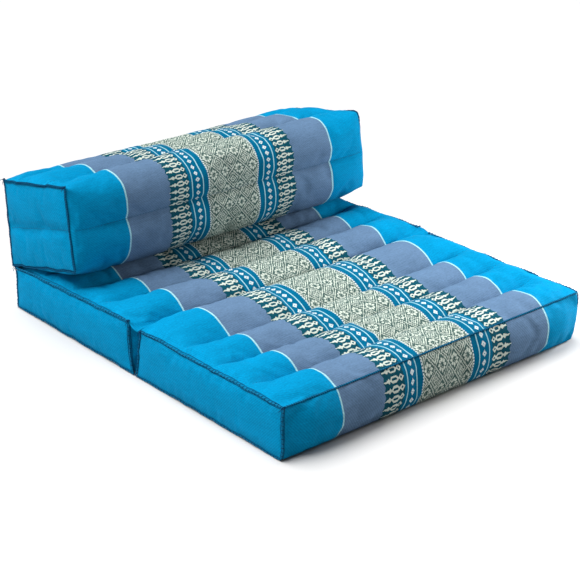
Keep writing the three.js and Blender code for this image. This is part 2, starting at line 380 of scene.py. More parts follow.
def skin(name, filling):
    """Closed skin of a block: its wall, and a grid of cloth over each end."""
    block = BLOCKS[name]
    places = station_places()
    rings = np.array([section_ring(block, x, filling) for x in places])
    count = rings.shape[1]
    starts = row_starts(block.rows)
    for station in (0, STATIONS - 1):
        side = math.copysign(1.0, places[station])
        draw_out_corners(name, block, rings[station], starts, side)
    up = int(starts[block.front_rows])
    across = int(starts[block.top_rows]) - up
    walls = np.concatenate([np.broadcast_to(places[:, None, None], rings.shape[:2] + (1,)), rings], 2)
    points = walls.reshape(-1, 3).tolist()
    begin, finish = pattern_lengths(block, section_ring(block, PATTERN_PLACE, filling))
    faces, cloth, creases, rims = [], [], [], []
    rim = [(i, 0) for i in range(up)] + [(up, j) for j in range(across)]
    rim += [(i, across) for i in range(up, 0, -1)] + [(0, j) for j in range(across, 0, -1)]
    for station in range(STATIONS - 1):
        near, far = places[station], places[station + 1]
        for step in range(count):
            beside = (step + 1) % count
            here, ahead = station * count, (station + 1) * count
            faces.append((here + step, ahead + step, ahead + beside, here + beside))
            cloth.append(
                ((near, begin[step]), (far, begin[step]), (far, finish[step]), (near, finish[step]))
            )
    for station in (0, STATIONS - 1):
        grid = panel_grid(rings[station], places[station], up, across, name == "bolster")
        numbers = np.zeros((up + 1, across + 1), int)
        ring_numbers = station * count + np.arange(count)
        numbers[:, 0] = ring_numbers[: up + 1]
        numbers[up, :] = ring_numbers[up : up + across + 1]
        numbers[:, across] = ring_numbers[up + across : 2 * up + across + 1][::-1]
        numbers[0, 1:across] = ring_numbers[2 * up + across + 1 :][::-1]
        inside = grid[1:up, 1:across].reshape(-1, 3)
        numbers[1:up, 1:across] = len(points) + np.arange(len(inside)).reshape(up - 1, across - 1)
        points.extend(inside.tolist())
        rims.append([numbers[min(max(i, 1), up - 1), min(max(j, 1), across - 1)] for i, j in rim])
        if name == "bolster":
            creases.append(numbers[up // 2].copy())
        for i in range(up):
            for j in range(across):
                face = [(i, j), (i, j + 1), (i + 1, j + 1), (i + 1, j)]
                if station == 0:
                    face.reverse()
                faces.append(tuple(int(numbers[place]) for place in face))
                cloth.append(
                    tuple((PANEL_CLOTH_START + grid[place][1], grid[place][2]) for place in face)
                )
    points = np.array(points)
    height = points[:, 2] - points[:, 2].min()
    share = height / height.max()
    beyond = points[:, 0] - (0.5 * WIDTH - RIGHT_BULGE_DEPTH)
    near_end = np.clip(beyond / RIGHT_BULGE_DEPTH, 0.0, 1.0)
    points[:, 0] += RIGHT_BULGE * near_end * (1.0 - (2.0 * share - 1.0) ** 2)
    return Skin(points, faces, cloth, count, creases, rims)


def shift_to_frame(points):
    points[:, 1] += FRONT_EDGE


def placed(name, data):
    """A new object in the scene, at the origin."""
    item = bpy.data.objects.new(name, data)
    bpy.context.scene.collection.objects.link(item)
    return item


def make_mesh(name, points, faces, cloth):
    """A mesh at the origin; cloth holds a place on the cloth for each corner of each face."""
    mesh = bpy.data.meshes.new(name)
    mesh.from_pydata([tuple(point) for point in points], [], faces)
    layer = mesh.uv_layers.new(name="ClothPlace")
    layer.data.foreach_set("uv", [value for face in cloth for place in face for value in place])
    mesh.update()
    return placed(name, mesh)


def choose(piece):
    """Selects one piece alone, as every tool acts on all that is selected."""
    bpy.ops.object.select_all(action="DESELECT")
    piece.select_set(True)
    bpy.context.view_layer.objects.active = piece


def apply_modifier(piece, kind, **settings):
    """Adds a modifier to the chosen piece, sets it and applies it."""
    bpy.ops.object.modifier_add(type=kind)
    modifier = piece.modifiers[-1]
    for name, value in settings.items():
        setattr(modifier, name, value)
    bpy.ops.object.modifier_apply(modifier=modifier.name)


def dress(piece, material):
    """Gives a piece its one material."""
    piece.data.materials.clear()
    piece.data.materials.append(material)


def finish_piece(piece, material, angle=30):
    """Smooth shading, material and body of a finished piece."""
    choose(piece)
    bpy.ops.object.shade_smooth_by_angle(angle=math.radians(angle))
    dress(piece, material)
    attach(piece, "root")


def replace_earlier(name):
    """A second press of a button builds the piece anew."""
    if name in bpy.data.objects:
        bpy.data.objects.remove(bpy.data.objects[name])


def worked_by(operation):
    """A method of Reading that puts one Math node after it."""
    return lambda self, *others: self.work(operation, *others)


class Reading:
    """A number that a material works out at each point, with the usual signs of arithmetic."""

    __add__ = worked_by("ADD")
    __sub__ = worked_by("SUBTRACT")
    __mul__ = worked_by("MULTIPLY")
    __truediv__ = worked_by("DIVIDE")
    __abs__ = worked_by("ABSOLUTE")
    below = worked_by("LESS_THAN")
    above = worked_by("GREATER_THAN")
    either = worked_by("MAXIMUM")

    def __init__(self, tree, socket):
        self.tree = tree
        self.socket = socket

    def work(self, operation, *others):
        node = self.tree.nodes.new("ShaderNodeMath")
        node.operation = operation
        for slot, item in zip(node.inputs, (self, *others)):
            if isinstance(item, Reading):
                self.tree.links.new(item.socket, slot)
            else:
                slot.default_value = item
        return Reading(self.tree, node.outputs[0])

    def between(self, low, high):
        return self.above(low) * self.below(high)

    def within(self, period):
        """Distance from the middle of the repeat that a point lies in."""
        return abs(self.work("FLOORED_MODULO", period) - 0.5 * period)

    def wave(self, period):
        """A wave over the surface that comes back after each period."""
        return (self * (2.0 * math.pi / period)).work("SINE")

    def stepped(self, size):
        """The same number in steps, as woven edges have them."""
        return self.work("SNAP", size) + 0.5 * size


def inverse(reading):
    """One less a number, so a mark becomes its ground."""
    return reading * -1.0 + 1.0


def mixed(tree, share, first, second):
    node = tree.nodes.new("ShaderNodeMix")
    node.data_type = "RGBA"
    factor, first_input, second_input = node.inputs[0], node.inputs[6], node.inputs[7]
    if isinstance(share, Reading):
        tree.links.new(share.socket, factor)
    else:
        factor.default_value = share
    for item, slot in ((first, first_input), (second, second_input)):
        if isinstance(item, bpy.types.NodeSocket):
            tree.links.new(item, slot)
        else:
            slot.default_value = (*item[:3], 1.0)
    return node.outputs[2]


def set_inputs(node, values):
    for name, value in values.items():
        node.inputs[name].default_value = value


def new_material(name):
    replaced = bpy.data.materials.get(name)
    if replaced is not None:
        bpy.data.materials.remove(replaced)
    material = bpy.data.materials.new(name)
    material.use_nodes = True
    return material, material.node_tree, material.node_tree.nodes["Principled BSDF"]


def fabric_noise(tree, place, scale, detail=2.0, stretch=None):
    """Noise over the cloth; stretch draws it out along the threads of one direction."""
    node = tree.nodes.new("ShaderNodeTexNoise")
    set_inputs(node, {"Scale": scale, "Detail": detail})
    if stretch is not None:
        mapping = tree.nodes.new("ShaderNodeMapping")
        mapping.inputs["Scale"].default_value = stretch
        tree.links.new(place, mapping.inputs["Vector"])
        place = mapping.outputs["Vector"]
    tree.links.new(place, node.inputs["Vector"])
    return Reading(tree, node.outputs[0])


def roughened(tree, shader, height, strength, distance):
    """Small bumps of a surface from a height that its material works out."""
    bump = tree.nodes.new("ShaderNodeBump")
    set_inputs(bump, {"Strength": strength, "Distance": distance})
    tree.links.new(height.socket, bump.inputs["Height"])
    tree.links.new(bump.outputs[0], shader.inputs["Normal"])


# Bands of the cloth, in millimetres from their centre line, mirrored to both sides
BROCADE_END = 56.0
INNER_LINE = 68.5
DIAMOND_ROW = 79.5
OUTER_LINE = 91.0
FRINGE_START = 98.0
FRINGE_END = 140.8
GREY_END = 226.5
PALE_LINE_END = 229.5
LINE_HALF = 1.0             # half the width of the pale lines between the bands
WOVEN_STEP = 1.1            # size of the steps that a woven edge has
MOTIF = 13.0                # from one motif of the fringe to the next along the cloth
FRAYED = 0.55               # how far the fringe's edge runs out between two motifs
LATTICE_OVER = 29.2         # from one flower of the brocade to the next, over the bands
LATTICE_ALONG = 35.1        # and along them
WEAVE = 0.9                 # from one thread to the next
TWILL = 4.5                 # from one ridge of the twill to the next
TWILL_SLANT = 0.9

# Scale, detail and stretch of the cloth's uneven places, and how much each changes its brightness
BLOTCHES = (16.0, 4.0)
RUBBED = (60.0, 3.0, (0.35, 1.0, 1.0))
SLUBS = (520.0, 1.0, (0.07, 1.0, 1.0))
GRAIN = (300.0, 3.0)
BLOTCHES_SHARE = 0.26
RUBBED_SHARE = 0.24
SLUBS_SHARE = 0.30
GRAIN_SHARE = 0.55
TWILL_SHARE = 0.10
EVEN_SHARE = 0.325

COTTON_FINISH = {
    "Roughness": 0.7,
    "Sheen Weight": 0.02,
    "Sheen Roughness": 0.35,
    "Sheen Tint": (0.35, 0.75, 1.0, 1.0),
    "Specular IOR Level": 0.02,
}


def fringe_marks(across, along):
    """Cream motifs of the fringe band: a diamond, an oval with a slit, a star and its spike."""
    beside = along.within(MOTIF)
    diamond = (abs(across - 103.4) / 5.4 + beside / 4.9).below(1.0)
    dot = (abs(across - 103.4) / 2.2 + beside / 2.2).below(1.0)
    oval = (abs(across - 116.4) + beside * 1.25).below(9.8) * beside.below(4.7)
    slit = (abs(across - 116.4) + beside * 0.8).below(5.4) * beside.below(1.7)
    star = (abs(across - 128.6) / 4.2 + beside / 3.9).below(1.0)
    spike = (abs(across - 131.0) + beside * 5.6).below(10.4) * across.above(128.0)
    return diamond * inverse(dot) + oval * inverse(slit) + star.either(spike)


def diamond_row_marks(across, along):
    """Small white diamonds with a dark middle between the two pale lines."""
    beside = along.within(MOTIF)
    reach = abs(across - DIAMOND_ROW) / 4.5 + beside / 4.9
    return reach.between(0.26, 1.0)


def border_marks(across, along):
    """Row of small white stitches where the brocade ends."""
    return abs(across - BROCADE_END + 0.4).below(1.3) * along.within(MOTIF / 3.0).below(1.25)


def brocade_marks(over, along):
    """Cream threads of the brocade: ringed dots, and between them diamonds filled with a flower."""
    aside = over.within(LATTICE_OVER)
    beyond = along.within(LATTICE_ALONG)
    depth = inverse(aside / LATTICE_OVER + beyond / LATTICE_ALONG)
    seed = depth.below(0.055)
    rings = depth.between(0.115, 0.205).either(depth.between(0.29, 0.38))
    rings = rings.either(depth.between(0.46, 0.545))
    beads = (over - along).within(4.4).above(0.56)
    reach = aside + beyond
    long_petals = (abs(aside - 5.7) / 4.4 + beyond / 2.7).below(1.0)
    tall_petals = (abs(beyond - 6.2) / 4.6 + aside / 2.7).below(1.0)
    slanted = (abs(aside - 4.2) + abs(beyond - 4.6)).below(3.0)
    gaps = abs(abs(aside - beyond) - 3.0).above(0.6).either(reach.above(9.4))
    petals = long_petals.either(tall_petals).either(slanted) * reach.above(1.3) * gaps
    return seed.either(rings * beads).either(petals * depth.above(0.6))


def woven_cover(settings):
    """The banded cloth: brocade, pale lines, fringe, blue-grey and plain blue, with its weave."""
    material, tree, shader = new_material("banded_cotton")
    uv = tree.nodes.new("ShaderNodeUVMap")
    uv.uv_map = "ClothPlace"
    split = tree.nodes.new("ShaderNodeSeparateXYZ")
    tree.links.new(uv.outputs[0], split.inputs[0])
    over = (Reading(tree, split.outputs[0]) - BAND_CENTRE) * 1000.0
    along = Reading(tree, split.outputs[1]) * 1000.0
    across = abs(over)
    over_step = over.stepped(WOVEN_STEP)
    across_step = abs(over_step)
    along_step = along.stepped(WOVEN_STEP)

    brocade = brocade_marks(over_step, along_step)
    fringe = fringe_marks(across_step, along_step)
    diamonds = diamond_row_marks(across_step, along_step)
    borders = border_marks(across, along)
    inner = abs(across - INNER_LINE).below(LINE_HALF)
    lines = inner.either(abs(across - OUTER_LINE).below(LINE_HALF))

    colour = mixed(tree, brocade, settings.brocade_green, settings.cream)
    teal = mixed(tree, across.above(FRINGE_START), settings.teal, settings.fringe_green)
    colour = mixed(tree, across.above(BROCADE_END), colour, teal)
    colour = mixed(tree, lines, colour, settings.pale_line)
    colour = mixed(tree, diamonds.either(borders), colour, settings.white)
    frayed = across + along.within(MOTIF) * FRAYED
    colour = mixed(tree, frayed.above(FRINGE_END), colour, settings.blue_grey)
    colour = mixed(tree, fringe, colour, settings.cream)
    colour = mixed(tree, across.above(GREY_END), colour, settings.pale_line)
    colour = mixed(tree, across.above(PALE_LINE_END), colour, settings.blue)

    blotches = fabric_noise(tree, uv.outputs[0], *BLOTCHES)
    rubbed = fabric_noise(tree, uv.outputs[0], *RUBBED)
    slubs = fabric_noise(tree, uv.outputs[0], *SLUBS)
    grain = fabric_noise(tree, uv.outputs[0], *GRAIN)
    twill = (over + along * TWILL_SLANT).wave(TWILL)
    twill = twill * across.above(FRINGE_END)
    worn = tree.nodes.new("ShaderNodeHueSaturation")
    tree.links.new(colour, worn.inputs["Color"])
    value = blotches * BLOTCHES_SHARE + rubbed * RUBBED_SHARE + slubs * SLUBS_SHARE
    value = value + grain * GRAIN_SHARE + twill * TWILL_SHARE + EVEN_SHARE
    tree.links.new(value.socket, worn.inputs["Value"])
    tree.links.new(worn.outputs[0], shader.inputs["Base Color"])

    weave = over.wave(WEAVE) * along.wave(WEAVE)
    height = weave * 0.5 + slubs + grain + brocade.either(fringe) * 0.6
    roughened(tree, shader, height, 0.35, 0.0004)
    set_inputs(shader, COTTON_FINISH)
    return material


def thread_material(settings):
    """Dark twisted sewing thread."""
    return twisted_thread("sewing_thread", settings.thread)


def channel_thread(settings):
    """Thread of the channel seams, nearer to the colour of the cloth."""
    return twisted_thread("channel_thread", settings.channel_thread)


def twisted_thread(name, dye):
    """A dull, fuzzy thread of one colour."""
    material, tree, shader = new_material(name)
    place = tree.nodes.new("ShaderNodeTexCoord")
    fuzz = fabric_noise(tree, place.outputs["Object"], 700.0)
    light = tuple(min(1.0, 2.2 * part) for part in dye[:3])
    colour = mixed(tree, fuzz, dye, light)
    tree.links.new(colour, shader.inputs["Base Color"])
    roughened(tree, shader, fuzz, 0.4, 0.0003)
    set_inputs(shader, {"Roughness": 0.8, "Specular IOR Level": 0.08})
    return material


def seam_cloth(settings):
    """Plain blue cloth of the folded seam edges, mottled with painted shade of the crease and needle
    holes.
    """
    material, tree, shader = new_material("seam_cloth")
    place = tree.nodes.new("ShaderNodeTexCoord")
    fuzz = fabric_noise(tree, place.outputs["Object"], 500.0)
    # Painted shade: a darker blue for the seam's crease and needle holes, scattered by fine noise
    painted_crease_shade = tuple(0.35 * part for part in settings.blue)
    colour = mixed(tree, fuzz, painted_crease_shade, settings.blue)
    tree.links.new(colour, shader.inputs["Base Color"])
    set_inputs(shader, {"Roughness": 0.8, "Specular IOR Level": 0.12})
    return material


def once(name, make, settings):
    """A material that several pieces share, made the first time it is asked for."""
    return bpy.data.materials.get(name) or make(settings)


def sharpen_seams(piece, block, count, creases):
    """Keeps the channel seams and the seams of the end panels sharp when the skin is refined."""
    places = station_places()
    starts = row_starts(block.rows)[:-1]
    sewn = {int(start) for row, start in zip(block.rows, starts) if not row.round}
    crease_steps = {frozenset(pair) for line in creases for pair in zip(line[:-1], line[1:])}
    sharpness = piece.data.attributes.new("crease_edge", "FLOAT", "EDGE")
    walls = STATIONS * count
    values = []
    for edge in piece.data.edges:
        one, other = edge.vertices
        value = 0.0
        if one < walls and other < walls:
            if one // count == other // count:
                value = PANEL_SHARPNESS if one // count in (0, STATIONS - 1) else 0.0
            elif one % count == other % count and one % count in sewn:
                value = max(grooved(places[one // count]), LEAST_SHARPNESS)
        if frozenset((one, other)) in crease_steps:
            value = CREASE_SHARPNESS
        values.append(value)
    sharpness.data.foreach_set("value", values)


def sewn_weights(block, count, total, creases):
    """How firmly each point of a skin is held: fully where it is sewn, not at all on a channel."""
    places = station_places()
    starts = row_starts(block.rows)[:-1]
    held = np.zeros(total)
    walls = held[: STATIONS * count].reshape(STATIONS, count)
    walls[0] = walls[-1] = 1.0
    depth = np.array([grooved(x) for x in places])
    for row, start in zip(block.rows, starts):
        if row.end is not None and not row.round:
            walls[:, start] = 1.0
        elif not row.round:
            walls[:, start] = np.maximum(walls[:, start], depth > SEWN_DEPTH)
    for line in creases:
        held[line] = 1.0
    return held


# How the cotton behaves while the filling pushes against it, and for how many frames
COTTON = {
    "quality": 3,
    "mass": 0.25,
    "tension_stiffness": 12.0,
    "compression_stiffness": 12.0,
    "shear_stiffness": 4.0,
    "bending_stiffness": 0.35,
}
STUFFING_FRAMES = 20


def stuff(piece, held, panel_start, settings):
    """Blows the cover up against its seams with Cloth, and keeps each point near its start."""
    before = mesh_points(piece)
    group = piece.vertex_groups.new(name="sewn")
    for weight in np.unique(held[held > 0.0]):
        members = np.flatnonzero(held == weight).tolist()
        group.add(members, float(weight), "REPLACE")
    choose(piece)
    bpy.ops.object.modifier_add(type="CLOTH")
    stuffing = piece.modifiers[-1]
    cloth = stuffing.settings
    for name, value in COTTON.items():
        setattr(cloth, name, value)
    cloth.shrink_min = -settings.looseness
    cloth.shrink_max = -settings.looseness
    cloth.use_pressure = True
    cloth.uniform_pressure_force = settings.pressure
    cloth.effector_weights.gravity = 0.0
    cloth.vertex_group_mass = group.name
    stuffing.collision_settings.use_collision = False
    scene = bpy.context.scene
    for step in range(1, STUFFING_FRAMES + 1):
        scene.frame_set(step)
    bpy.ops.object.modifier_apply(modifier=stuffing.name)
    piece.vertex_groups.clear()
    scene.frame_set(1)
    move = mesh_points(piece) - before
    length = np.linalg.norm(move, axis=1, keepdims=True)
    limit = np.full((len(before), 1), settings.give)
    limit[panel_start:] *= PANEL_GIVE
    move *= np.minimum(1.0, limit * np.tanh(length / limit) / np.maximum(length, 1e-9))
    return before + move


def mesh_points(piece):
    flat = np.empty(3 * len(piece.data.vertices), np.float32)
    piece.data.vertices.foreach_get("co", flat)
    return flat.reshape(-1, 3).astype(float)


def set_points(piece, points):
    piece.data.vertices.foreach_set("co", points.astype(np.float32).ravel())
    piece.data.update()


def build_block(name, settings):
    replace_earlier(name + "_cover")
    made = skin(name, settings.filling)
    points, count = made.points, made.count
    block = BLOCKS[name]
    shift_to_frame(points)
    piece = make_mesh(name + "_cover", points, made.faces, made.cloth)
    held = sewn_weights(block, count, len(points), made.creases)
    points = stuff(piece, held, STATIONS * count, settings)
    points[:, 1] -= FRONT_EDGE
    block.settle(points[:, 1:])
    shift_to_frame(points)
    set_points(piece, points)
    built[name] = points[: STATIONS * count].reshape(STATIONS, count, 3)
    panel_creases[name] = [points[line] for line in made.creases]
    panel_rims[name] = [points[rim] for rim in made.rims]
    sharpen_seams(piece, block, count, made.creases)
    choose(piece)
    apply_modifier(piece, "SUBSURF", levels=1, render_levels=1)
    finish_piece(piece, once("banded_cotton", woven_cover, settings), 50)
    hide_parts(name)
    return piece


def seam_curve(points, closed):
    """A guide along a seam, for loops and stitches to be laid on."""
    curve = bpy.data.curves.new("seam_guide", "CURVE")
    curve.dimensions = "3D"
    spline = curve.splines.new("POLY")
    spline.points.add(len(points) - 1)
    for place, point in zip(spline.points, points):
        place.co = (*point, 1.0)
    spline.use_cyclic_u = closed
    return placed("seam_guide", curve)


def laid_along(piece, guide, number):
    """Repeats a small piece evenly along a guide and bends the row to follow it."""
    choose(piece)
    apply_modifier(
        piece,
        "ARRAY",
        count=number,
        use_relative_offset=False,
        use_constant_offset=True,
        constant_offset_displace=(guide.data.splines[0].calc_length() / number, 0.0, 0.0),
    )
    apply_modifier(piece, "CURVE", object=guide, deform_axis="POS_X")


def thread_loop():
    """One loop of overlocking thread, leaning the way the needle travels."""
    bpy.ops.object.select_all(action="DESELECT")
    bpy.ops.mesh.primitive_torus_add(
        major_radius=SEAM_LOOP,
        minor_radius=SEAM_THREAD,
        major_segments=8,
        minor_segments=4,
        location=(0.0, 0.0, 0.0),
        rotation=(0.0, math.radians(90.0), math.radians(28.0)),
    )
    bpy.ops.object.transform_apply(location=True, rotation=True, scale=True)
    return bpy.context.active_object


def running_stitch():
    """One stitch of a channel seam: a short rounded length of thread."""
    bpy.ops.object.select_all(action="DESELECT")
    bpy.ops.mesh.primitive_cylinder_add(
        vertices=6,
        radius=STITCH_THREAD,
        depth=0.5 * STITCH_LENGTH,
        location=(0.0, 0.0, 0.0),
        rotation=(0.0, math.radians(90.0), 0.0),
    )
    bpy.ops.object.transform_apply(location=True, rotation=True, scale=True)
    stitch = bpy.context.active_object
    bpy.ops.object.mode_set(mode="EDIT")
    for side in (-1.0, 1.0):
        shape = bmesh.from_edit_mesh(stitch.data)
        for face in shape.faces:
            face.select_set(face.normal.x * side > 0.9)
        shape.select_flush_mode()
        bmesh.update_edit_mesh(stitch.data)
        reach = 0.25 * STITCH_LENGTH * side
        bpy.ops.mesh.extrude_region_move(
            TRANSFORM_OT_translate={"value": (reach, 0.0, -STITCH_THREAD)}
        )
        bpy.ops.transform.resize(value=(1.0, STITCH_TAPER, STITCH_TAPER))
    bpy.ops.object.mode_set(mode="OBJECT")
    return stitch


def folded_edge(guide, radius):
    """The cloth edge that the loops are sewn over, or a thread, as a thin round length."""
    choose(guide)
    guide.data.bevel_depth = radius
    guide.data.bevel_resolution = 1
    guide.data.use_fill_caps = True
    bpy.ops.object.convert(target="MESH")
    return bpy.context.active_object


def joined(pieces, name):
    choose(pieces[0])
    for piece in pieces:
        piece.select_set(True)
    if len(pieces) > 1:
        bpy.ops.object.join()
    pieces[0].name = name
    pieces[0].data.name = name
    return pieces[0]


def panel_edge(name):
    """Length of the edge of an end panel as it is cut."""
    corners = end_points(BLOCKS[name].rows)
    return float(np.linalg.norm(np.roll(corners, -1, axis=0) - corners, axis=1).sum())


def sewn_piece(pieces, name):
    """Joins loops, edges and threads into one piece of the cover."""
    sewing = joined(pieces, name)
    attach(sewing, "root")


def overlocked_seam(points, closed, number, settings):
    """Folded edge and thread loops along one seam."""
    guide = seam_curve(points, closed)
    loops = thread_loop()
    laid_along(loops, guide, number)
    dress(loops, once("sewing_thread", thread_material, settings))
    edge = folded_edge(guide, SEAM_CORE)
    dress(edge, once("seam_cloth", seam_cloth, settings))
    return [loops, edge]


def thread_line(points, settings):
    """One thread that runs on beside a closed seam."""
    thread = folded_edge(seam_curve(points, True), SIDE_THREAD)
    dress(thread, once("sewing_thread", thread_material, settings))
    return thread


def sewn_by_hand(line):
    """The same line, a little unsteady, and clear of the floor."""
    noise.seed_set(WANDER_SEED)
    for point in line:
        point += THREAD_WANDER * np.array(noise.noise_vector(Vector(point) * 120.0))
    line[:, 2] = np.maximum(line[:, 2], SEAM_LOOP + SEAM_THREAD)
    return line


def panel_seam(name, side):
    """Lines of the seam round an end panel and of the threads beside it, a little proud."""
    ring = built[name][0 if side < 0 else STATIONS - 1]
    beside = built[name][1 if side < 0 else STATIONS - 2]
    rim = panel_rims[name][0 if side < 0 else 1]
    flat = ring[:, 1:]
    run = np.roll(flat, -1, axis=0) - np.roll(flat, 1, axis=0)
    way = np.stack([np.zeros(len(run)), -run[:, 1], run[:, 0]], axis=1)
    way /= np.linalg.norm(way, axis=1, keepdims=True)
    out = np.array([side, 0.0, 0.0])
    seam = ring + way * 0.5 * SEAM_LOOP + out * 0.4 * SEAM_LOOP
    on_wall = 0.5 * (ring + beside) + way * WALL_THREAD_OFF
    on_panel = ring + (rim - ring) * PANEL_THREAD_IN + out * PANEL_THREAD_OFF
    return [sewn_by_hand(line) for line in (seam, on_wall, on_panel)]


def channel_lines(name):
    """Channel seams of a block, from where they have sunk in, and how many stitches each takes."""
    block = BLOCKS[name]
    places = station_places()
    starts = row_starts(block.rows)[:-1]
    needed = 0.0 if name == "bolster" else FIRST_STITCH
    deep = [number for number, x in enumerate(places) if grooved(x) > needed]
    across = round((places[deep[-1]] - places[deep[0]]) / STITCH_PITCH)
    lines = []
    for row, start in zip(block.rows, starts):
        if row.end is None:
            line = built[name][deep, start].copy()
            before, after = built[name][deep, start - 1], built[name][deep, start + 1]
            lift = 0.5 * (before + after) - line
            lift /= np.maximum(np.linalg.norm(lift, axis=1, keepdims=True), 1e-9)
            line += lift * STITCH_LIFT
            line[:, 2] = np.maximum(line[:, 2], STITCH_CLEARANCE)
            lines.append((line, across))
    for line in panel_creases[name]:
        side = math.copysign(1.0, line[0, 0])
        raised = line[1:-1] + np.array([2.0 * STITCH_LIFT * side, 0.0, 0.0])
        lines.append((raised, round(PANEL_CREASE / STITCH_PITCH)))
    return lines


KNOT_TURNS = 3
KNOT_SIZE = 1.15            # of a loop of the seam
THREAD_ENDS = 2


def corner_knot(corner, side, number):
    """Turns of thread round a corner, and the two ends that were cut off."""
    pieces = []
    for turn in range(KNOT_TURNS):
        loop = thread_loop()
        loop.scale = (KNOT_SIZE, KNOT_SIZE, KNOT_SIZE)
        loop.rotation_euler = (1.1 * turn, 0.9 * turn, 0.7 * turn + number)
        loop.location = Vector(corner) + Vector((side * 0.0008 * turn, 0.0, 0.0006))
        choose(loop)
        bpy.ops.object.transform_apply(location=True, rotation=True, scale=True)
        pieces.append(loop)
    for end in range(THREAD_ENDS):
        sway = noise.noise(Vector((3.7 * number, 5.1 * end, 0.5)))
        reach = np.array([side * 0.0045, 0.006 * sway, 0.0022 - 0.004 * end])
        bend = np.array([side * 0.0030, 0.009 * sway, -0.0040])
        line = [corner, corner + 0.6 * reach, corner + reach + 0.4 * bend, corner + reach + bend]
        pieces.append(folded_edge(seam_curve(line, False), SEAM_THREAD))
    return pieces


def hinge_mesh(name, lines, settings):
    """A strip of the banded cloth; lines holds a row of points from seam to seam at each station."""
    replace_earlier(name + "_cloth")
    across = lines.shape[1]
    points = lines.reshape(-1, 3)
    steps = np.linalg.norm(np.diff(lines[len(lines) // 2], axis=0), axis=1)
    places = np.concatenate([[0.0], np.cumsum(steps)])
    faces, cloth = [], []
    for station in range(len(lines) - 1):
        near, far = lines[station, 0, 0], lines[station + 1, 0, 0]
        for step in range(across - 1):
            here = station * across + step
            faces.append((here, here + across, here + across + 1, here + 1))
            one, other = places[step], places[step + 1]
            cloth.append(((near, one), (far, one), (far, other), (near, other)))
    piece = make_mesh(name + "_cloth", points, faces, cloth)
    choose(piece)
    apply_modifier(piece, "SOLIDIFY", thickness=HINGE_CLOTH, offset=0.0)
    finish_piece(piece, once("banded_cotton", woven_cover, settings), 50)
    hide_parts(name)
    return piece


def front_hinge_lines():
    """The seat's top cloth runs on from block to block and sinks into the joint."""
    start = row_starts(FRONT_ROWS)[5]
    finish = row_starts(BACK_ROWS)[1]
    one, other = built["front_block"][:, start], built["back_block"][:, finish]
    shares = np.linspace(0.0, 1.0, 7)[None, :, None]
    lines = one[:, None] * (1 - shares) + other[:, None] * shares
    width = np.linalg.norm(other - one, axis=1)[:, None]
    bow = 4 * (shares * (1 - shares))[..., 0]
    sewn_up = np.exp(-(((0.5 * WIDTH - one[:, 0]) / HINGE_RISE_REACH) ** 2))[:, None]
    lines[..., 2] -= (HINGE_SAG + HINGE_SLACK * width) * bow
    lines[..., 2] += HINGE_RISE * sewn_up * bow - HINGE_DROP
    return lines


def stood_off(rings, index, distance):
    """Points beside a ring's point at every station, straight out from the skin."""
    count = rings.shape[1]
    run = rings[:, (index + 1) % count] - rings[:, index - 1]
    way = np.stack([np.zeros(len(run)), -run[:, 2], run[:, 1]], axis=1)
    way /= np.linalg.norm(way, axis=1, keepdims=True)
    return rings[:, index % count] + way * distance


def back_hinge_lines():
    """Behind, the cloth turns from the rear block's back up round the bolster's lower edge."""
    off = HAIR_GAP + 0.5 * HINGE_CLOTH
    turn = row_starts(BOLSTER_ROWS)[7]
    seam = row_starts(BACK_ROWS)[5]
    inner = slice(1, STATIONS - 1)
    bolster, block = built["bolster"][inner], built["back_block"][inner]
    rows = [stood_off(bolster, turn + step, off) for step in (-3, -2, -1, 0, 1, 2, 3)]
    rows += [stood_off(block, seam + step, off) for step in (3, 4)]
    return np.stack(rows, axis=1)


def dyed(name, description, default):
    """A colour of the cloth or the thread that a user can change."""
    return FloatVectorProperty(
        name=name,
        description=description,
        default=default,
        size=3,
        min=0.0,
        max=1.0,
        subtype="COLOR",
    )


class CushionSettings(bpy.types.PropertyGroup):
    """What a maker would choose: how full the blocks are and the colours of the cloth."""

    filling: FloatProperty(
        name="Filling",
        description="How full the three blocks are stuffed",
        default=0.9,
        min=0.0,
        max=1.0,
        subtype="FACTOR",
    )
    pressure: FloatProperty(
        name="Pressure",
        description="How hard the filling pushes while the covers are simulated",
        default=4.0,
        min=0.0,
        max=20.0,
    )
    looseness: FloatProperty(
        name="Looseness",
        description="Share by which the cloth is cut larger than the shape it covers",
        default=0.02,
        min=0.0,
        max=0.2,
        subtype="FACTOR",
    )
    give: FloatProperty(
        name="Give",
        description="Furthest that a point of a cover may move while it is simulated",
        default=0.006,
        unit="LENGTH",
        min=0.0,
        max=0.02,
    )
    blue: dyed("Blue", "Plain cloth of the ends", (0.0, 0.184, 0.362))
    blue_grey: dyed("Blue-grey", "Plain band between the fringe and the ends", (0.085, 0.147, 0.240))
    teal: dyed("Teal", "Band beside the brocade", (0.0, 0.098, 0.19))
    fringe_green: dyed("Fringe green", "Ground of the fringe band", (0.004, 0.055, 0.082))
    brocade_green: dyed("Brocade green", "Ground of the brocade", (0.050, 0.092, 0.084))
    cream: dyed("Cream", "Pattern threads", (0.46, 0.51, 0.45))
    white: dyed("White", "Small diamonds between the pale lines", (0.48, 0.56, 0.56))
    pale_line: dyed("Pale line", "Thin lines between the bands", (0.27, 0.49, 0.54))
    thread: dyed("Thread", "Sewing thread of the seams", (0.0008, 0.016, 0.05))
    channel_thread: dyed("Channel thread", "Sewing thread of the channel seams", (0.008, 0.05, 0.095))


class CUSHION_OT_blocks(bpy.types.Operator):
    """Build the two seat blocks and the bolster"""

    bl_idname = "cushion.blocks"
    bl_label = "Padded blocks"

    def execute(self, context):
        for name in BLOCKS:
            build_block(name, context.scene.cushion)
        return {"FINISHED"}


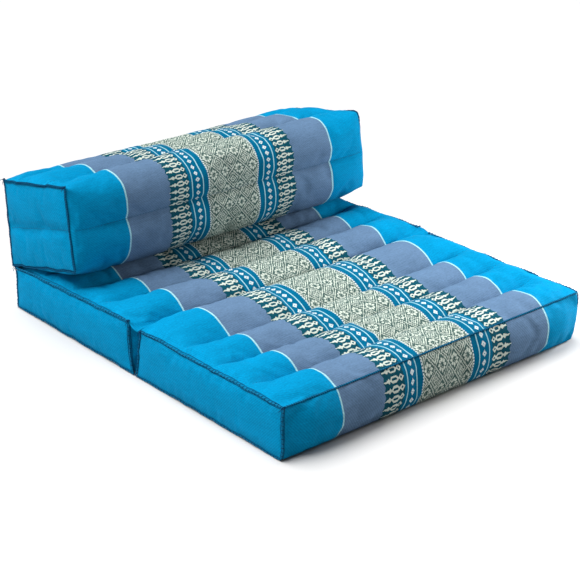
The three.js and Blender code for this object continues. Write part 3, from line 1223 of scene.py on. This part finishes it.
class CUSHION_OT_hinges(bpy.types.Operator):
    """Sew in the strips of cloth that join the blocks"""

    bl_idname = "cushion.hinges"
    bl_label = "Hinge cloths"

    def execute(self, context):
        settings = context.scene.cushion
        front = hinge_mesh("front_hinge", front_hinge_lines(), settings)
        back = hinge_mesh("back_hinge", back_hinge_lines(), settings)
        return {"FINISHED"}


class CUSHION_OT_edge_seams(bpy.types.Operator):
    """Overlock the seams round the end panels and along the front edge"""

    bl_idname = "cushion.edge_seams"
    bl_label = "Overlocked seams"

    def execute(self, context):
        settings = context.scene.cushion
        for name in BLOCKS:
            replace_earlier(name + "_seams")
            pieces = []
            number = round(panel_edge(name) / (CLOSE_PITCH if name == "bolster" else WIDE_PITCH))
            for side in (-1, 1):
                seam, on_wall, on_panel = panel_seam(name, side)
                pieces += overlocked_seam(seam, True, number, settings)
                beside = (on_panel,) if name == "bolster" else (on_wall, on_panel)
                pieces += [thread_line(line, settings) for line in beside]
            if name == "front_block":
                line = built[name][1:-1, row_starts(FRONT_ROWS)[1]].copy()
                line[:, 1] -= 0.35 * SEAM_LOOP
                line[:, 2] += 0.35 * SEAM_LOOP
                sewn_by_hand(line)
                number = round(WIDTH / (0.6 * WIDE_PITCH))
                pieces += overlocked_seam(line, False, number, settings)
            sewn_piece(pieces, name + "_seams")
        return {"FINISHED"}


class CUSHION_OT_channel_stitches(bpy.types.Operator):
    """Stitch the channel seams of the blocks"""

    bl_idname = "cushion.channel_stitches"
    bl_label = "Channel stitches"

    def execute(self, context):
        settings = context.scene.cushion
        for name in BLOCKS:
            replace_earlier(name + "_stitches")
            pieces = []
            for line, number in channel_lines(name):
                guide = seam_curve(line, False)
                stitches = running_stitch()
                laid_along(stitches, guide, number)
                bpy.data.objects.remove(guide)
                pieces.append(stitches)
            stitches = joined(pieces, name + "_stitches")
            finish_piece(stitches, once("channel_thread", channel_thread, settings))
        return {"FINISHED"}


class CUSHION_OT_corner_knots(bpy.types.Operator):
    """Knot the threads at the upper corners of the end panels"""

    bl_idname = "cushion.corner_knots"
    bl_label = "Corner knots"

    def execute(self, context):
        settings = context.scene.cushion
        replace_earlier("corner_knots")
        pieces = []
        for name, block in BLOCKS.items():
            starts = row_starts(block.rows)
            for station, side in ((0, -1.0), (STATIONS - 1, 1.0)):
                for corner in (starts[block.front_rows], starts[block.top_rows]):
                    if side < 0 or name == "back_block":
                        pieces += corner_knot(built[name][station, corner], side, len(pieces))
        for piece in pieces:
            dress(piece, once("sewing_thread", thread_material, settings))
        sewn_piece(pieces, "corner_knots")
        return {"FINISHED"}


# Camera, worked out from the photograph in the frame's own metres
CAMERA_PLACE = (-1.68491, -1.94461, 1.18706)
CAMERA_YAW = math.radians(40.911 + 0.036)
CAMERA_PITCH = math.radians(23.630)
CAMERA_ROLL = math.radians(0.544)
CAMERA_LENS = 101.4
CAMERA_SENSOR = 36.0

FLOOR_SIZE = 24.0
FLOOR_DEPTH = -0.0005       # just under the cushion, so the two don't flicker
FLOOR_FINISH = {
    "Base Color": (0.495, 0.495, 0.495, 1.0),
    "Roughness": 0.9,
    "Specular IOR Level": 0.1,
}
SKY = {"Color": (1.0, 1.0, 1.0, 1.0), "Strength": 0.1}
OVERHEAD_WAY = (-0.27, 0.32, 1.0)
OVERHEAD_STRENGTH = 6.75
OVERHEAD_ANGLE = math.radians(58.0)
# Name, place, aim, size and power of each round light
SOFTBOXES = (
    ("left_light", (-1.6, 0.25, 0.18), (-0.33, 0.0, 0.12), 0.8, 7.0),
    ("side_light", (0.85, -0.5, 0.35), (0.2, 0.0, 0.12), 0.4, 10.0),
)


def camera_turn():
    """Axes of a camera that looks down by the pitch, turned from +Y towards +X by the yaw."""
    forward = Vector((
        math.sin(CAMERA_YAW) * math.cos(CAMERA_PITCH),
        math.cos(CAMERA_YAW) * math.cos(CAMERA_PITCH),
        -math.sin(CAMERA_PITCH),
    ))
    level = Vector((math.cos(CAMERA_YAW), -math.sin(CAMERA_YAW), 0.0))
    upright = level.cross(forward)
    right = math.cos(CAMERA_ROLL) * level + math.sin(CAMERA_ROLL) * upright
    up = math.cos(CAMERA_ROLL) * upright - math.sin(CAMERA_ROLL) * level
    return Matrix((right, up, -forward)).transposed()


def softbox(name, place, aim, size, power):
    """Round soft light at a place, turned to where it aims."""
    light = bpy.data.lights.new(name, "AREA")
    light.shape = "DISK"
    light.size = size
    light.energy = power
    lamp = placed(name, light)
    lamp.location = place
    lamp.rotation_mode = "QUATERNION"
    lamp.rotation_quaternion = (Vector(aim) - Vector(place)).to_track_quat("-Z", "Y")
    lamp.visible_camera = False


def overhead_light():
    """Broad soft light from above, the same all over the floor."""
    light = bpy.data.lights.new("overhead_light", "SUN")
    light.energy = OVERHEAD_STRENGTH
    light.angle = OVERHEAD_ANGLE
    lamp = placed("overhead_light", light)
    lamp.rotation_mode = "QUATERNION"
    lamp.rotation_quaternion = Vector(OVERHEAD_WAY).to_track_quat("Z", "Y")


class CUSHION_OT_stage(bpy.types.Operator):
    """Set the camera, the pale floor and the soft studio light"""

    bl_idname = "cushion.stage"
    bl_label = "Stage"

    def execute(self, context):
        bpy.ops.object.select_all(action="DESELECT")
        bpy.ops.mesh.primitive_plane_add(size=FLOOR_SIZE, location=(0.0, 0.0, FLOOR_DEPTH))
        floor = context.active_object
        floor.name = "studio_floor"
        material, tree, shader = new_material("studio_floor")
        set_inputs(shader, FLOOR_FINISH)
        floor.data.materials.append(material)

        world = bpy.data.worlds.new("studio_sky")
        world.use_nodes = True
        set_inputs(world.node_tree.nodes["Background"], SKY)
        context.scene.world = world
        overhead_light()
        for row in SOFTBOXES:
            softbox(*row)

        camera = bpy.data.cameras.new("photo_camera")
        camera.sensor_width = CAMERA_SENSOR
        camera.lens = CAMERA_LENS
        eye = placed("photo_camera", camera)
        eye.matrix_world = Matrix.Translation(CAMERA_PLACE) @ camera_turn().to_4x4()
        context.scene.camera = eye
        context.scene.view_settings.view_transform = "Standard"
        return {"FINISHED"}


class CUSHION_PT_panel(bpy.types.Panel):
    """Lists the cushion's settings and the steps that build it"""

    bl_idname = "CUSHION_PT_panel"
    bl_label = "Folding floor cushion"
    bl_space_type = "VIEW_3D"
    bl_region_type = "UI"
    bl_category = "Cushion"

    def draw(self, context):
        column = self.layout.column()
        for name in CushionSettings.__annotations__:
            column.prop(context.scene.cushion, name)
        for step in STEPS:
            column.operator(step.bl_idname)


STEPS = (
    CUSHION_OT_stage,
    CUSHION_OT_blocks,
    CUSHION_OT_hinges,
    CUSHION_OT_edge_seams,
    CUSHION_OT_channel_stitches,
    CUSHION_OT_corner_knots,
)
CLASSES = (CushionSettings, *STEPS, CUSHION_PT_panel)


def register():
    for item in CLASSES:
        bpy.utils.register_class(item)
    bpy.types.Scene.cushion = PointerProperty(type=CushionSettings)


def unregister():
    del bpy.types.Scene.cushion
    for item in reversed(CLASSES):
        bpy.utils.unregister_class(item)


def main():
    register()
    bpy.ops.cushion.stage()
    bpy.ops.cushion.blocks()
    bpy.ops.cushion.hinges()
    bpy.ops.cushion.edge_seams()
    bpy.ops.cushion.channel_stitches()
    bpy.ops.cushion.corner_knots()


if __name__ == "__main__":
    main()
